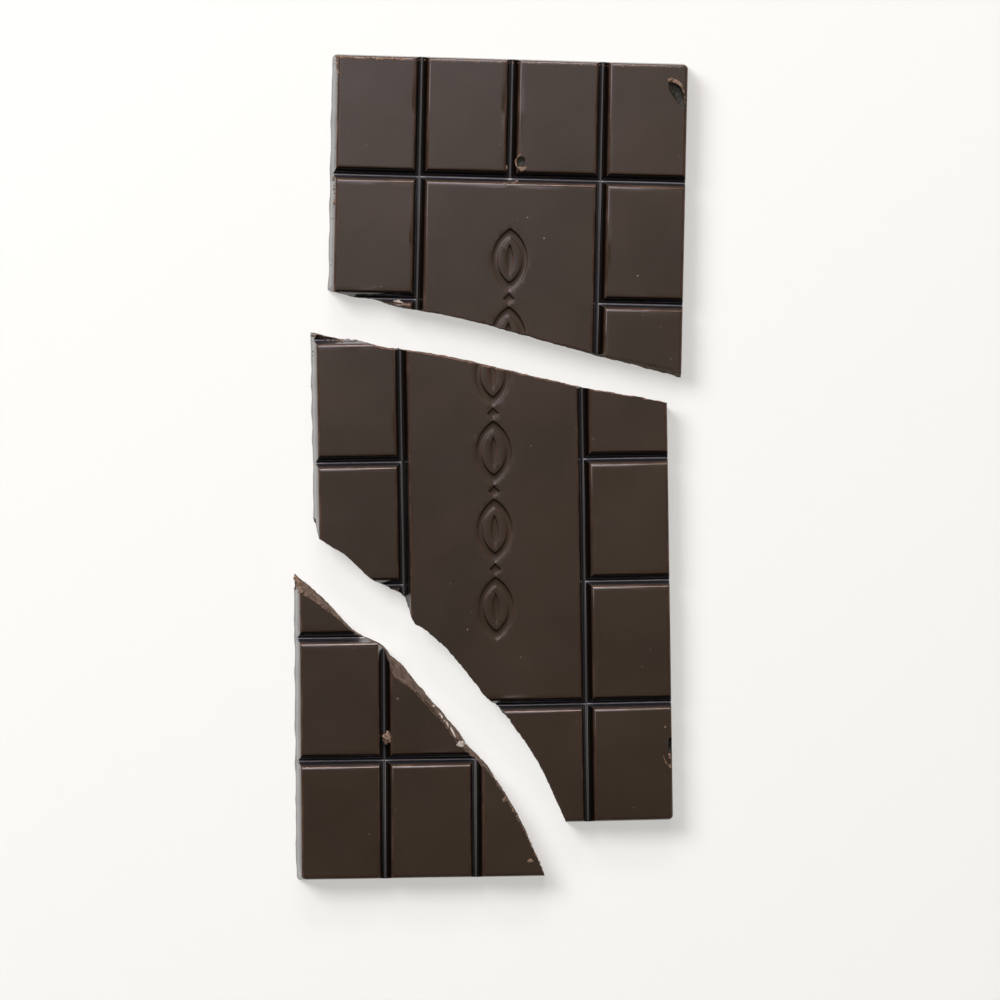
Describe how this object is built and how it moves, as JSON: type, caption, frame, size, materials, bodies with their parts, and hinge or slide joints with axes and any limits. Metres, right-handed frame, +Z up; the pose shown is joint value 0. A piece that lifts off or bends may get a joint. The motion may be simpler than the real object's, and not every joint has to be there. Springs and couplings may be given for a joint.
{
  "type": "chocolate bar",
  "caption": "Dark chocolate tablet with squares divided by grooves and a long smooth panel, broken across into pieces that lie a little apart on their flat backs.",
  "frame": {"origin": "middle of the box round the laid-out pieces, at the level of their flat backs", "axes": "+X across the bar, +Y along the bar towards its first row, +Z up out of the moulded face"},
  "size_m": [0.0873, 0.1824, 0.0066],
  "materials": {
    "dark_chocolate": "satin moulded chocolate, matt and rough where it is broken"
  },
  "bodies": {
    "root": {"piece_upper": "dark_chocolate", "piece_middle": "dark_chocolate", "piece_lower": "dark_chocolate"}
  },
  "joints": []
}
